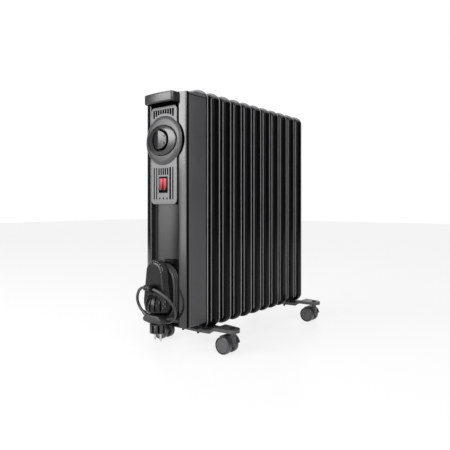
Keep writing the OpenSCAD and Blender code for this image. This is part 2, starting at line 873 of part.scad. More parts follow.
wire_r = 1.2;
wire_touch = 0.2;
wire_x = block_x - 22;
gland_end = floor_x + cover_t + 6 + wire_touch;
tab_end = switch_back + 6 + wire_touch;
thermo_x = body_x + thermo_depth + 3;
thermo_y = 3 + wire_touch;
cutout_end = block_x - 14 - wire_touch;
terminal_end = element_x - terminal_l - wire_touch;
hole_end = block_x - 12;
hole_mouth = block_x - 16.5;
wire_routes = [
  [[gland_end, gland_y, gland_z], [gland_end + 5, gland_y, gland_z + 1],
   [wire_x - 4, -12, gland_z + 12], [wire_x, -4, block_z - 15], [wire_x - 2, 0, block_z + 3],
   [block_x - 20, 0, block_z + 8], [hole_mouth, 0, block_z + 8], [hole_end, 0, block_z + 8]],
  [[hole_end, 0, block_z + 22], [hole_mouth, 0, block_z + 22],
   [block_x - 20, 0, block_z + 22], [wire_x - 4, -3, block_z + 60],
   [wire_x - 2, -7, switch_high - 33], [tab_end + 5, -7, switch_high - 12],
   [tab_end, -7, switch_high - 10]],
  [[tab_end, 7, switch_high + 10], [tab_end + 5, 7, switch_high + 12], [wire_x + 5, 12, switch_high + 42],
   [thermo_x, 18, dial_high - 36], [thermo_x, 12, dial_high - 13], [thermo_x, thermo_y, dial_high - 12]],
  [[thermo_x, -thermo_y, dial_high + 12], [thermo_x, -12, dial_high + 11], [thermo_x, -24, dial_high - 16],
   [thermo_x, -20, switch_high + 22], [wire_x + 5, 0, switch_high - 13],
   [cutout_end - 5, 16, switch_high - 38],
   [cutout_end, 18, switch_high - cutout_drop]],
  [[cutout_end, 26, switch_high - cutout_drop], [cutout_end - 5, 27, switch_high - 44],
   [wire_x, 30, block_z + 35],
   [wire_x, 30, header_low + 85], [wire_x - 6, 16, header_low + 20], [terminal_end - 5, 9, header_low + 1],
   [terminal_end, 9, header_low]],
  [[hole_end, 0, block_z + 36], [hole_mouth, 0, block_z + 36],
   [block_x - 20, 0, block_z + 36], [wire_x - 2, -14, block_z + 15],
   [wire_x, -24, header_low + 85], [wire_x - 6, -16, header_low + 20],
   [terminal_end - 5, -9, header_low + 1],
   [terminal_end, -9, header_low]]
];

// Insulated wires between the terminal block, switch, thermostat, cut-out and element
module inner_wires() {
  color("orange") for (route = wire_routes) tube(smooth(route, 3), wire_r, 8, [0, 1, 0]);
}

// --- Feet ---

joggle = [74, 88];
foot_top = fin_floor;
bolt_reach = header_r + 0.5 + bolt_r;

// A bracket's plan: tapered arms with round ends, smaller by inset
module foot_plan(inset) {
  r = foot_end_r - inset;
  w = foot_root - inset;
  polygon([
    [w, -40], [w, 40], [r, pivot_y], [-r, pivot_y],
    [-w, 40], [-w, -40], [-r, -pivot_y], [r, -pivot_y]
  ]);
  for (s = [-1, 1]) translate([0, s * pivot_y]) circle(r);
}

// A bracket's side profile, t deep below its upper face
module foot_profile(t) {
  top = [
    [-pivot_y - foot_end_r - cut, foot_top + foot_lift], [-joggle[1], foot_top + foot_lift],
    [-joggle[0], foot_top], [joggle[0], foot_top],
    [joggle[1], foot_top + foot_lift], [pivot_y + foot_end_r + cut, foot_top + foot_lift]
  ];
  polygon(concat(top, turned_round([for (p = top) [p.x, p.y - t]])));
}

module foot(x) {
  tall = foot_top + foot_lift + cut;
  bolt = -foot_offset;
  color(dark) translate([x, 0, 0]) difference() {
    intersection() {
      linear_extrude(tall) foot_plan(0);
      union() {
        along_x(-foot_root - cut, 2 * foot_root + 2 * cut) foot_profile(foot_t);
        difference() {
          along_x(-foot_root - cut, 2 * foot_root + 2 * cut) foot_profile(foot_skirt);
          translate([0, 0, -cut]) linear_extrude(tall + 2 * cut) foot_plan(foot_t);
        }
      }
    }
    for (y = [-1, 1]) {
      translate([bolt, y * bolt_reach, foot_top - foot_t - cut])
        cylinder(h = foot_t + 2 * cut, r = bolt_r + 0.3);
      translate([0, y * pivot_y, foot_top + foot_lift - foot_t - cut])
        cylinder(h = foot_t + 2 * cut, r = stem_r);
    }
  }
}

nut_h = 6;
bolt_end = 38;

module u_bolts() {
  color(steel) for (i = [0, fin_count - 2]) translate([bolt_x(i), 0, header_low]) {
    rotate([90, 0, 90]) rotate_extrude(angle = 180) translate([bolt_reach, 0]) circle(bolt_r);
    for (y = [-1, 1]) translate([0, y * bolt_reach, bolt_end - header_low])
      cylinder(h = header_low - bolt_end, r = bolt_r);
  }
}

module wing_nuts() {
  z = foot_top - foot_t - nut_h;
  color(steel) for (i = [0, fin_count - 2], y = [-1, 1])
    translate([bolt_x(i), y * bolt_reach, z]) difference() {
      union() {
        cylinder(h = nut_h, r = 5.5);
        translate([-1.2, -11, -4]) cube([2.4, 22, 8]);
      }
      translate([0, 0, -5]) cylinder(h = nut_h + 6, r = bolt_r);
    }
}

hood_top = foot_top + foot_lift - foot_skirt - 1.5;
stem_low = axle_z + 6;

// Caster stems, riveted into the bracket's ends
module caster_stems() {
  under = foot_top + foot_lift - foot_t;
  color(steel) for (x = foot_x, y = [-1, 1]) translate([x, y * pivot_y, 0]) {
    translate([0, 0, stem_low]) cylinder(h = foot_top + foot_lift - stem_low, r = stem_r);
    translate([0, 0, hood_top + 0.3]) cylinder(h = under - hood_top - 0.3, r = stem_r + 3);
    translate([0, 0, foot_top + foot_lift]) cylinder(h = 2, r = stem_r + 2.5);
  }
}

hood_half = wheel_gap / 2 - 0.3;
guard_r = wheel_r + 1;
guard_t = 1.8;

// Puts a caster at front or rear foot f and side s, its axle inboard of the pivot
module at_caster(f, s) {
  translate([foot_x[f], s * pivot_y, 0]) rotate([0, 0, s > 0 ? 180 : 0])
    children();
}

// Hood of a caster: a block between the wheels and a guard over them
module caster_hood(f, s) {
  color(dark) at_caster(f, s) difference() {
    union() {
      translate([-hood_half, 0, 0]) rotate([90, 0, 90]) linear_extrude(2 * hood_half) {
        translate([caster_trail, axle_z]) circle(wheel_r - 6);
        translate([-stem_r - 2.5, axle_z - 2]) square([caster_trail, wheel_r + 2]);
        translate([0, axle_z]) square([caster_trail, guard_r + 0.5]);
      }
      translate([0, 0, axle_z + wheel_r - 1])
        cylinder(h = hood_top - axle_z - wheel_r + 1, r = stem_r + 2.5);
      intersection() {
        translate([0, caster_trail, axle_z]) difference() {
          rod_x(-wheel_gap / 2 - wheel_w, wheel_gap + 2 * wheel_w, guard_r + guard_t);
          rod_x(-wheel_gap / 2 - wheel_w - cut, wheel_gap + 2 * wheel_w + 2 * cut, guard_r);
        }
        translate([-wheel_gap / 2 - wheel_w - cut, caster_trail - guard_r - guard_t, axle_z + 4])
          cube([wheel_gap + 2 * wheel_w + 2 * cut, guard_r + guard_t + 6, guard_r + guard_t]);
      }
    }
    translate([0, 0, -cut]) cylinder(h = hood_top + 2 * cut, r = stem_r + run_gap);
    translate([0, caster_trail, axle_z]) rod_x(-hood_half - cut, 2 * hood_half + 2 * cut, axle_r);
  }
}

cap_t = 2;

module caster_axle(f, s) {
  l = wheel_gap + 2 * (wheel_w - cap_t) - 1;
  color(steel) at_caster(f, s) translate([0, caster_trail, axle_z]) rod_x(-l / 2, l, axle_r);
}

// A wheel with a blind bore; side is -1 for the one nearer the controls
module caster_wheel(f, s, side) {
  color(coal) translate([foot_x[f], s * (pivot_y - caster_trail), axle_z])
    mirror([side < 0 ? 1 : 0, 0, 0]) difference() {
      translate([wheel_gap / 2, 0, 0]) rotate([0, 90, 0]) rotate_extrude() polygon([
        [0, 0], [wheel_r - 1, 0], [wheel_r, 1], [wheel_r, wheel_w - 3],
        [wheel_r - 3, wheel_w - 0.5], [0, wheel_w]
      ]);
      rod_x(wheel_gap / 2 - cut, wheel_w - cap_t + cut, axle_r + run_gap);
    }
}

fin(0);  // fin_01
fin(1);  // fin_02
fin(2);  // fin_03
fin(3);  // fin_04
fin(4);  // fin_05
fin(5);  // fin_06
fin(6);  // fin_07
fin(7);  // fin_08
fin(8);  // fin_09
fin(9);  // fin_10
fin(10);  // fin_11
heating_element();
element_gasket();
oil_filler_plug();
heat_shield();
housing();
front_cover();
control_panel();
nose_grip();
dial_plate();
thermostat_knob();
thermostat_shaft();
thermostat_body();
thermostat_screws();
switch_body();
rocker(1);  // rocker_left
rocker(-1);  // rocker_right
thermal_cutout();
terminal_block();
inner_wires();
cord_gland();
winder_hub();
winder_cover();
cord_winding();
cord_tail();
cord_tie();
plug_body();
plug_pins();
housing_screws();
foot(foot_x[0]);  // front_foot
foot(foot_x[1]);  // rear_foot
u_bolts();
wing_nuts();
caster_stems();
caster_hood(0, 1);  // hood_fl
caster_hood(0, -1);  // hood_fr
caster_hood(1, 1);  // hood_rl
caster_hood(1, -1);  // hood_rr
caster_axle(0, 1);  // axle_fl
caster_axle(0, -1);  // axle_fr
caster_axle(1, 1);  // axle_rl
caster_axle(1, -1);  // axle_rr
caster_wheel(0, 1, -1);  // wheel_fl_a
caster_wheel(0, 1, 1);  // wheel_fl_b
caster_wheel(0, -1, -1);  // wheel_fr_a
caster_wheel(0, -1, 1);  // wheel_fr_b
caster_wheel(1, 1, -1);  // wheel_rl_a
caster_wheel(1, 1, 1);  // wheel_rl_b
caster_wheel(1, -1, -1);  // wheel_rr_a
caster_wheel(1, -1, 1);  // wheel_rr_b
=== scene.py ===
import bpy, bmesh
from math import cos, sin, pi, radians, sqrt
from mathutils import Matrix, Vector


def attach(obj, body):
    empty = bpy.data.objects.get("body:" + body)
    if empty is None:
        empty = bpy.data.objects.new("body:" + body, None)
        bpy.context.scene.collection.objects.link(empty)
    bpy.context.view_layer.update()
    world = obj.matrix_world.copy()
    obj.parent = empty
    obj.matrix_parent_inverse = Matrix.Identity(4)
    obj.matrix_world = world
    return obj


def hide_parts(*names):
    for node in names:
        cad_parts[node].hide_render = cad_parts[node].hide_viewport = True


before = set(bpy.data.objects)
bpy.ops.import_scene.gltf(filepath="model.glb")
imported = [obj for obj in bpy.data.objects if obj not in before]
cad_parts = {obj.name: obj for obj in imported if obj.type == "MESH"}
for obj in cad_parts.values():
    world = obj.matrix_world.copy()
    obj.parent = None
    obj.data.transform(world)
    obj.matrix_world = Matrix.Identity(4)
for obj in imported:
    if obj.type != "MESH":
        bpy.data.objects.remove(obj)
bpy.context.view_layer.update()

# --- Studio: camera, lamps, boards and floor ---
# A level camera at the height of the heater's middle, a pale floor that keeps the shadow,
# large soft lamps on the control side, and black boards that the glossy paint mirrors.
scene = bpy.context.scene
scene.view_settings.view_transform = "Standard"


def placed(name, data):
    """A new object in the scene."""
    thing = bpy.data.objects.new(name, data)
    scene.collection.objects.link(thing)
    return thing


def aimed(place, aim, axis):
    """The turn that points one axis of a thing from its place to its aim."""
    return (Vector(aim) - Vector(place)).to_track_quat(axis, "Y")


camera = placed("camera", bpy.data.cameras.new("camera"))
camera.location = (-1.065, -0.837, 0.367)
camera.rotation_euler = aimed((0, 0, 0), (0.782, 0.6233, 0.0), "-Z").to_euler()
camera.data.lens = 37.64
camera.data.sensor_width = 36
camera.data.shift_y = -0.0433
scene.camera = camera


def lamp(name, place, aim, width, height, power):
    """A soft rectangular lamp."""
    light = bpy.data.lights.new(name, "AREA")
    light.shape = "RECTANGLE"
    light.size = width
    light.size_y = height
    light.energy = power
    thing = placed(name, light)
    thing.location = place
    thing.rotation_euler = aimed(place, aim, "-Z").to_euler()


lamp("softbox", (-2.50, 0.85, 1.30), (-0.25, 0, 0.50), 2.4, 1.2, 86)
lamp("channel_box", (-2.30, 1.95, 0.50), (-0.25, 0, 0.44), 1.1, 0.46, 3.4)
lamp("low_box", (-2.50, -0.30, 0.34), (-0.25, 0, 0.34), 1.3, 0.66, 9)
lamp("right_key", (-1.75, -2.15, 1.75), (-0.2, 0, 0.38), 1.0, 1.0, 42)
lamp("overhead", (-0.2, -0.3, 2.8), (0, 0, 0.3), 2.0, 2.0, 16)


def sheet(name, size, matrix, finish):
    """A flat square of the studio, which is no part of the heater."""
    mesh = bpy.data.meshes.new(name)
    bm = bmesh.new()
    bmesh.ops.create_grid(bm, x_segments=1, y_segments=1, size=size)
    bmesh.ops.transform(bm, verts=bm.verts, matrix=matrix)
    bm.to_mesh(mesh)
    bm.free()
    mesh.materials.append(finish)
    placed(name, mesh)


matt_black = bpy.data.materials.new("matt_black")
matt_black.use_nodes = True
matt = matt_black.node_tree.nodes["Principled BSDF"].inputs
matt["Base Color"].default_value = (0.01, 0.01, 0.01, 1)
matt["Roughness"].default_value = 0.9
matt["Specular IOR Level"].default_value = 0.0
board = Matrix.Diagonal((2.6, 3.4, 1, 1))
for name, place, aim in (("card_right", (2.3, -1.75, 0.9), (0.05, -0.07, 0.5)),
                         ("card_left", (-0.95, 2.6, 0.9), (-0.25, 0.0, 0.5))):
    turn = aimed(place, aim, "Z").to_matrix().to_4x4()
    sheet(name, 0.5, Matrix.Translation(place) @ turn @ board, matt_black)


def any_ray(nodes, links, *kinds):
    """One where a ray is of any of these kinds, and nought elsewhere."""
    path = nodes.new("ShaderNodeLightPath")
    found = path.outputs[kinds[0]]
    for kind in kinds[1:]:
        either = nodes.new("ShaderNodeMath")
        either.operation = "MAXIMUM"
        links.new(found, either.inputs[0])
        links.new(path.outputs[kind], either.inputs[1])
        found = either.outputs[0]
    return found


# The room is white where it is seen or mirrored and dim where it lights matt surfaces.
world = bpy.data.worlds.new("studio")
scene.world = world
world.use_nodes = True
nodes, links = world.node_tree.nodes, world.node_tree.links
nodes.clear()
dim = nodes.new("ShaderNodeBackground")
dim.inputs["Strength"].default_value = 0.22
white = nodes.new("ShaderNodeBackground")
white.inputs["Color"].default_value = (1, 1, 1, 1)
mix = nodes.new("ShaderNodeMixShader")
out = nodes.new("ShaderNodeOutputWorld")
links.new(any_ray(nodes, links, "Is Camera Ray", "Is Transmission Ray", "Is Glossy Ray"),
          mix.inputs[0])
links.new(dim.outputs[0], mix.inputs[1])
links.new(white.outputs[0], mix.inputs[2])
links.new(mix.outputs[0], out.inputs["Surface"])

# The floor glows by this share where it is seen or mirrored, so its shadows stay pale.
floor_glow = 0.80
floor_paint = bpy.data.materials.new("floor_paint")
floor_paint.use_nodes = True
nodes, links = floor_paint.node_tree.nodes, floor_paint.node_tree.links
shader = nodes["Principled BSDF"]
shader.inputs["Base Color"].default_value = (0.97, 0.97, 0.97, 1)
shader.inputs["Roughness"].default_value = 0.30
shader.inputs["Specular IOR Level"].default_value = 0.25
share = nodes.new("ShaderNodeMath")
share.operation = "MULTIPLY"
share.inputs[1].default_value = floor_glow
pale = nodes.new("ShaderNodeEmission")
pale.inputs["Color"].default_value = (1, 1, 1, 1)
blend = nodes.new("ShaderNodeMixShader")
links.new(any_ray(nodes, links, "Is Camera Ray", "Is Glossy Ray", "Is Transmission Ray"),
          share.inputs[0])
links.new(share.outputs[0], blend.inputs[0])
links.new(shader.outputs[0], blend.inputs[1])
links.new(pale.outputs[0], blend.inputs[2])
links.new(blend.outputs[0], nodes["Material Output"].inputs["Surface"])
sheet("floor", 9, Matrix(), floor_paint)

# --- Mains cord ---
# A round rubber sheathed lead. It leaves the gland above the winder, takes three and a half
# turns side by side round the hub, then loops over the hood and down into the plug.


def surface(name, colour, rough, grain, depth, gloss=0.5, metal=0.0):
    """A finish with fine grain in its relief and slow changes in colour and roughness."""
    vary, patch = 0.12, 14.0
    made = bpy.data.materials.new(name)
    made.use_nodes = True
    nodes, links = made.node_tree.nodes, made.node_tree.links
    base = nodes["Principled BSDF"].inputs
    base["Specular IOR Level"].default_value = gloss
    base["Metallic"].default_value = metal
    where = nodes.new("ShaderNodeTexCoord").outputs["Object"]
    slow = nodes.new("ShaderNodeTexNoise")
    slow.inputs["Scale"].default_value = patch
    slow.inputs["Detail"].default_value = 3
    links.new(where, slow.inputs["Vector"])
    tint = nodes.new("ShaderNodeMix")
    tint.data_type = "RGBA"
    darker, lighter, tinted = tint.inputs[6], tint.inputs[7], tint.outputs[2]
    darker.default_value = (*[c * (1 - vary) for c in colour], 1)
    lighter.default_value = (*[c * (1 + vary) for c in colour], 1)
    links.new(slow.outputs["Fac"], tint.inputs[0])
    links.new(tinted, base["Base Color"])
    spread = nodes.new("ShaderNodeMapRange")
    spread.inputs["To Min"].default_value = rough * (1 - vary)
    spread.inputs["To Max"].default_value = rough * (1 + vary)
    links.new(slow.outputs["Fac"], spread.inputs["Value"])
    links.new(spread.outputs["Result"], base["Roughness"])
    fine = nodes.new("ShaderNodeTexNoise")
    fine.inputs["Scale"].default_value = grain
    fine.inputs["Detail"].default_value = 2
    links.new(where, fine.inputs["Vector"])
    relief = nodes.new("ShaderNodeBump")
    relief.inputs["Distance"].default_value = depth
    relief.inputs["Strength"].default_value = 0.5
    links.new(fine.outputs["Fac"], relief.inputs["Height"])
    links.new(relief.outputs["Normal"], base["Normal"])
    return made


cord_d = 0.007
hub_r, hub_straight, winder_z = 0.0417, 0.045, 0.1575
turns, turn_points = 3.5, 16
lane, first_lane = 0.00705, -0.2424
# How far the first point stands off the hub to meet the gland, and the last to meet the
# loop, and over how much of a turn the cord eases from one to the other.
exit_drop, exit_shift, foot_drop, ease = 0.009, 0.0021, 0.0073, 0.22


def round_hub(turn, r):
    """A point on the stadium round the hub, from its top and down the +Y side."""
    arc = pi * r / 2
    d = (turn % 1) * (4 * arc + 2 * hub_straight)
    high, low = winder_z + hub_straight / 2, winder_z - hub_straight / 2
    if d < arc:
        return r * sin(d / r), high + r * cos(d / r)
    d -= arc
    if d < hub_straight:
        return r, high - d
    d -= hub_straight
    if d < 2 * arc:
        return r * cos(d / r), low - r * sin(d / r)
    d -= 2 * arc
    if d < hub_straight:
        return -r, low + d
    d -= hub_straight
    return -r * cos(d / r), high + r * sin(d / r)


cord_route = []
for k in range(int(turns * turn_points)):
    turn = k / turn_points
    r, x = hub_r, first_lane - lane * turn
    if turn < ease:
        r += exit_drop * (1 - turn / ease) ** 2
        x -= exit_shift * (1 - turn / ease) ** 2
    if turn > turns - ease:
        r += foot_drop * ((turn - turns + ease) / ease) ** 2
    cord_route.append((x, *round_hub(turn, r)))
# The loop: out from under the hood, up past it, through the tie and down to the plug.
cord_route += [
    (-0.264, -0.017, 0.086), (-0.266, -0.037, 0.0912), (-0.270, -0.053, 0.1045),
    (-0.278, -0.0605, 0.123), (-0.288, -0.056, 0.142), (-0.2975, -0.0405, 0.158),
    (-0.302, -0.0205, 0.1672), (-0.304, -0.003, 0.170), (-0.304, 0.014, 0.1708),
    (-0.302, 0.031, 0.1665), (-0.299, 0.044, 0.1556), (-0.296, 0.0508, 0.1375),
    (-0.293, 0.0495, 0.1249), (-0.291, 0.0442, 0.1148), (-0.289, 0.036, 0.107),
]
line = bpy.data.curves.new("mains_cord", "CURVE")
line.dimensions = "3D"
line.bevel_depth = cord_d / 2
line.bevel_resolution = 4
line.resolution_u = 6
line.use_fill_caps = True
run = line.splines.new("BEZIER")
run.bezier_points.add(len(cord_route) - 1)
for point, place in zip(run.bezier_points, cord_route):
    point.co = place
    point.handle_left_type = point.handle_right_type = "AUTO"
cord = placed("mains_cord", line)
line.materials.append(
    surface("cord_rubber", (0.030, 0.030, 0.0315), 0.36, 900, 0.0002, gloss=0.42))
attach(cord, "heater")
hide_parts("cord_winding", "cord_tail")

# --- Radiator fins ---
# Eleven pressed steel fins, welded round their rims and painted black in the oven. The
# rims are rolled and the ends crowned; headers and three oil channels join the fins.
# The rims and crowns carry painted highlights in lighter greys.
fin_count, first_fin, fin_pitch = 11, -0.1985, 0.047
fin_depth, fin_w, fin_low, fin_h = 0.031, 0.142, 0.055, 0.602
fin_corner, fin_lip, fin_roll, half_web = 0.024, 0.013, 0.0065, 0.0005
fin_bead, fin_side = 0.0016, 0.0084
crown_drop, crown_reach, crown_cuts = 0.0055, 0.032, (0.32, 0.5, 0.68)
rim_reach, edge_reach, crown_zone = 0.012, 0.006, 0.03
header_r, header_low, header_high, header_end = 0.023, 0.115, 0.597, 0.0065
oil_lanes, oil_half_x, oil_half_y, oil_corner = (-0.036, 0, 0.036), 0.0065, 0.011, 0.004
# Faces above this area are shaded flat, so a narrow roll does not bend their light.
flat_area = 0.0004


def along(edge, axis):
    """True for an edge that runs along the axis."""
    step = edge.verts[1].co - edge.verts[0].co
    return abs(step[axis]) > 0.98 * step.length


def soften(bm, edges, radius, steps=3):
    """Rounds the edges."""
    bmesh.ops.bevel(bm, geom=edges, offset=radius, segments=steps, affect="EDGES",
                    profile=0.5, material=-1)


def outward(bm):
    """Turns every face outwards."""
    bmesh.ops.recalc_face_normals(bm, faces=bm.faces)


def cut(bm, place, way, faces=None, clear=False):
    """Cuts the faces, or all, along a plane, and may clear what lies beyond it."""
    if faces is None:
        geom = bm.faces[:] + bm.edges[:] + bm.verts[:]
    else:
        geom = (faces + list({e for f in faces for e in f.edges})
                + list({v for f in faces for v in f.verts}))
    bmesh.ops.bisect_plane(bm, geom=geom, plane_co=place, plane_no=way, clear_outer=clear)


def push(bm, faces, step):
    """Extrudes the faces by a step and returns the moved vertices."""
    made = bmesh.ops.extrude_face_region(bm, geom=faces)["geom"]
    moved = [v for v in made if isinstance(v, bmesh.types.BMVert)]
    bmesh.ops.translate(bm, verts=moved, vec=step)
    return moved


def drop(bm, faces, context="FACES_ONLY"):
    """Takes away those of the faces that are still there."""
    bmesh.ops.delete(bm, geom=[f for f in faces if f.is_valid], context=context)


def show(name, bm, finishes, body, slot, *stands_for):
    """Makes the mesh an object with smooth rolls and crisp edges that rides on a body."""
    mesh = bpy.data.meshes.new(name)
    for face in bm.faces:
        face.smooth = face.calc_area() < flat_area
    bm.to_mesh(mesh)
    bm.free()
    mesh.set_sharp_from_angle(angle=radians(32))
    for finish in finishes:
        mesh.materials.append(finish)
    thing = placed(name, mesh)
    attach(thing, body)
    if stands_for:
        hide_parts(*stands_for)
    return thing


def block(bm, low, high, radius, steps=3, only=None):
    """A box from corner to corner, its edges rounded, or only those along one axis."""
    made = bmesh.ops.create_cube(bm, size=1)["verts"]
    size = Vector(high) - Vector(low)
    middle = (Vector(high) + Vector(low)) / 2
    bmesh.ops.transform(
        bm, verts=made, matrix=Matrix.Translation(middle) @ Matrix.Diagonal((*size, 1)))
    edges = list({e for v in made for e in v.link_edges})
    if only is not None:
        edges = [e for e in edges if along(e, only)]
    soften(bm, edges, radius, steps)


def rod(bm, start, end, r, sides, end_r=None):
    """A capped round bar from start to end, which may taper to another radius."""
    start, end = Vector(start), Vector(end)
    made = bmesh.ops.create_cone(
        bm, cap_ends=True, segments=sides, radius1=r, radius2=r if end_r is None else end_r,
        depth=(end - start).length)["verts"]
    turn = aimed(start, end, "Z").to_matrix().to_4x4()
    bmesh.ops.transform(bm, verts=made, matrix=Matrix.Translation((start + end) / 2) @ turn)
    return made


# The black paint, then painted highlights: the palest on the rolled rims and edge strips, a pale
# grey on the crowns, and a dim painted fade just below each crown.
fin_finishes = [
    surface("fin_paint", (0.0035, 0.0035, 0.004), 0.24, 420, 0.0001, gloss=0.06),
    surface("fin_rim_painted_highlight", (0.26, 0.26, 0.266), 0.30, 420, 0.0001, gloss=0.6),
    surface("fin_crown_painted_highlight", (0.19, 0.19, 0.195), 0.42, 420, 0.0001, gloss=0.3),
    surface("fin_painted_highlight_fade", (0.045, 0.045, 0.047), 0.36, 420, 0.0001, gloss=0.2),
]
rim, crown_highlight, highlight_fade = 1, 2, 3
fin_high, fin_middle = fin_low + fin_h, fin_low + fin_h / 2
for i in range(fin_count):
    x = first_fin + i * fin_pitch
    bead_x = x + fin_depth - fin_roll - fin_bead
    bm = bmesh.new()
    block(bm, (x, -fin_w / 2, fin_low), (x + fin_depth, fin_w / 2, fin_high),
          fin_corner, 12, only=0)
    caps = [f for f in bm.faces if abs(f.normal.x) > 0.99]
    bmesh.ops.inset_individual(bm, faces=caps, thickness=fin_lip, depth=0)
    for cap in caps:
        inward = -1 if cap.normal.x > 0 else 1
        push(bm, [cap], (inward * (fin_depth / 2 - half_web), 0, 0))
    drop(bm, caps, "FACES")
    rim_edges = [e for e in bm.edges if len(e.link_faces) == 2 and abs(
        abs(e.link_faces[0].normal.x) - abs(e.link_faces[1].normal.x)) > 0.9
        and (abs(e.verts[0].co.y) > fin_w / 2 - rim_reach or
             min(abs(e.verts[0].co.z - fin_low), abs(e.verts[0].co.z - fin_high)) < rim_reach)]
    soften(bm, rim_edges, fin_roll, 6)
    outward(bm)
    cut(bm, (bead_x, 0, 0), (1, 0, 0))
    for y in (fin_side - fin_w / 2, fin_w / 2 - fin_side):
        cut(bm, (0, y, 0), (0, 1, 0))
    for step in crown_cuts:
        cut(bm, (x + step * fin_depth, 0, 0), (1, 0, 0))
    for v in bm.verts:
        above = v.co.z - fin_middle
        near = max(0, 1 - (fin_h / 2 - abs(above)) / crown_reach)
        across = abs(2 * (v.co.x - x) / fin_depth - 1)
        v.co.z -= (1 if above > 0 else -1) * crown_drop * near ** 1.5 * across ** 2.5
    bm.normal_update()
    # Paints the highlights: the crown on upward faces at the top, the rim on the rolls and side
    # strips, and the fade between crown and side.
    for face in bm.faces:
        spot = face.calc_center_median()
        outer = max(abs(spot.y) - fin_w / 2, abs(spot.z - fin_middle) - fin_h / 2) > -edge_reach
        upright = abs(spot.y) > fin_w / 2 - fin_side
        high = spot.z > fin_high - crown_zone
        if face.normal.z > 0.55 and high:
            face.material_index = crown_highlight
        elif upright and face.normal.x < -0.97 or 0.10 < face.normal.x < 0.75:
            face.material_index = rim
        elif outer and abs(face.normal.x) < 0.1 and spot.x > bead_x:
            face.material_index = rim
        elif face.normal.z > 0.25 and high:
            face.material_index = highlight_fade
    middle = x + fin_depth / 2
    header_stop = middle + (header_end if i == fin_count - 1 else fin_pitch / 2)
    for z in (header_low, header_high):
        rod(bm, (middle - fin_pitch / 2, 0, z), (header_stop, 0, z), header_r, 48)
    for y in oil_lanes:
        block(bm, (middle - oil_half_x, y - oil_half_y, header_low),
              (middle + oil_half_x, y + oil_half_y, header_high), oil_corner)
    outward(bm)
    show(f"fin_shell_{i + 1:02d}", bm, fin_finishes, "heater", "fin_paint", f"fin_{i + 1:02d}")

# --- Side housing ---
# A folded steel wrap that closes the gap between the controls and the first fin. Its front
# edge stands clear of the cover and is painted black as the shade of the seam, and a groove under
# its top is a black strip of painted shade.
housing_front, housing_back, housing_half = -0.2442, -0.1810, 0.0725
housing_low, housing_high = 0.075, 0.640
housing_corner, housing_edge, housing_wall = 0.005, 0.0015, 0.0012
groove_low, groove_high = housing_high - 0.0078, housing_high - 0.0062


def pick(bm, test):
    """The edges that pass a test."""
    return [e for e in bm.edges if test(e)]


def at_x(edge, x):
    """True for an edge that lies at this x."""
    return all(abs(v.co.x - x) < 1e-5 for v in edge.verts)


def second(faces):
    """Gives the faces the second finish of their piece."""
    for face in faces:
        face.material_index = 1


def skin(thing, thickness, rim=0):
    """Gives a thin sheet its wall, inwards."""
    wall = thing.modifiers.new("wall", "SOLIDIFY")
    wall.thickness = thickness
    wall.material_offset_rim = rim
    wall.offset = -1


housing_paint = surface("housing_paint", (0.072, 0.072, 0.075), 0.36, 520, 0.0001, gloss=0.18)
# Black for painted shade in seams and grooves.
seam_painted_shade = surface("seam_painted_shade", (0.001, 0.001, 0.001), 0.9, 520, 0.0001, gloss=0.0)
bm = bmesh.new()
block(bm, (housing_front, -housing_half, housing_low), (housing_back, housing_half, housing_high),
      housing_corner, 5, only=0)
soften(bm, pick(bm, lambda e: at_x(e, housing_front) or at_x(e, housing_back)), housing_edge)
drop(bm, [f for f in bm.faces if abs(f.normal.x) > 0.99], "FACES")
for z in (groove_low, groove_high):
    cut(bm, (0, 0, z), (0, 0, 1))
# The front edge and a flat strip under the top are painted black: painted shade of the seam and the
# groove.
second(f for f in bm.faces if f.normal.x < -0.5
       or groove_low < f.calc_center_median().z < groove_high)
wrap = show("side_housing", bm, [housing_paint, seam_painted_shade], "heater", "housing_paint", "housing")
skin(wrap, housing_wall, rim=1)

# --- Front cover ---
# One pressed sheet with two chamfered rails and a sunken channel between them. Its returns
# slide into the side housing, and the sides of the returns are painted black as the shade of the
# seam.
return_x, seam_x, rail_x, floor_x = -0.232, -0.2474, -0.2545, -0.2385
rail_y, floor_y, seam_y, dark_y = 0.049, 0.047, 0.0692, 0.068
rail_end, rail_roll, floor_roll, cover_wall = 0.004, 0.0030, 0.0010, 0.001
cover_paint = surface("cover_paint", (0.007, 0.0072, 0.0076), 0.17, 520, 0.00005, gloss=0.66)


def plate(bm, outline, step):
    """A plate between an outline and the same outline a step away, with closed ends."""
    push(bm, [bm.faces.new([bm.verts.new(p) for p in outline])], step)


bm = bmesh.new()
outline = [(return_x, seam_y), (seam_x, seam_y), (rail_x, rail_y),
           (rail_x, -rail_y), (seam_x, -seam_y), (return_x, -seam_y)]
plate(bm, [(x, y, housing_low) for x, y in outline], (0, 0, housing_high - housing_low))
for z in (housing_low + rail_end, housing_high - rail_end):
    cut(bm, (0, 0, z), (0, 0, 1))
channel = [f for f in bm.faces if all(abs(v.co.x - rail_x) < 1e-5 for v in f.verts)
           and abs(f.calc_center_median().z - (housing_low + housing_high) / 2) < 0.1]
for v in push(bm, channel, (floor_x - rail_x, 0, 0)):
    v.co.y *= floor_y / rail_y
drop(bm, channel)
outward(bm)
drop(bm, [f for f in bm.faces if all(v.co.x > return_x - 0.0005 for v in f.verts)], "FACES")
soften(bm, pick(bm, lambda e: along(e, 2) and abs(e.verts[0].co.y) > 0.048), rail_roll, 5)
soften(bm, pick(bm, lambda e: at_x(e, floor_x)), floor_roll, 2)
# The sides of the returns are painted black: painted shade of the seam.
for face in bm.faces:
    spot = face.calc_center_median()
    if abs(spot.y) > dark_y and (spot.x > seam_x + 0.001 or abs(face.normal.y) > 0.85):
        face.material_index = 1
cover = show("cover_sheet", bm, [cover_paint, seam_painted_shade], "heater", "cover_paint", "front_cover")
skin(cover, cover_wall)

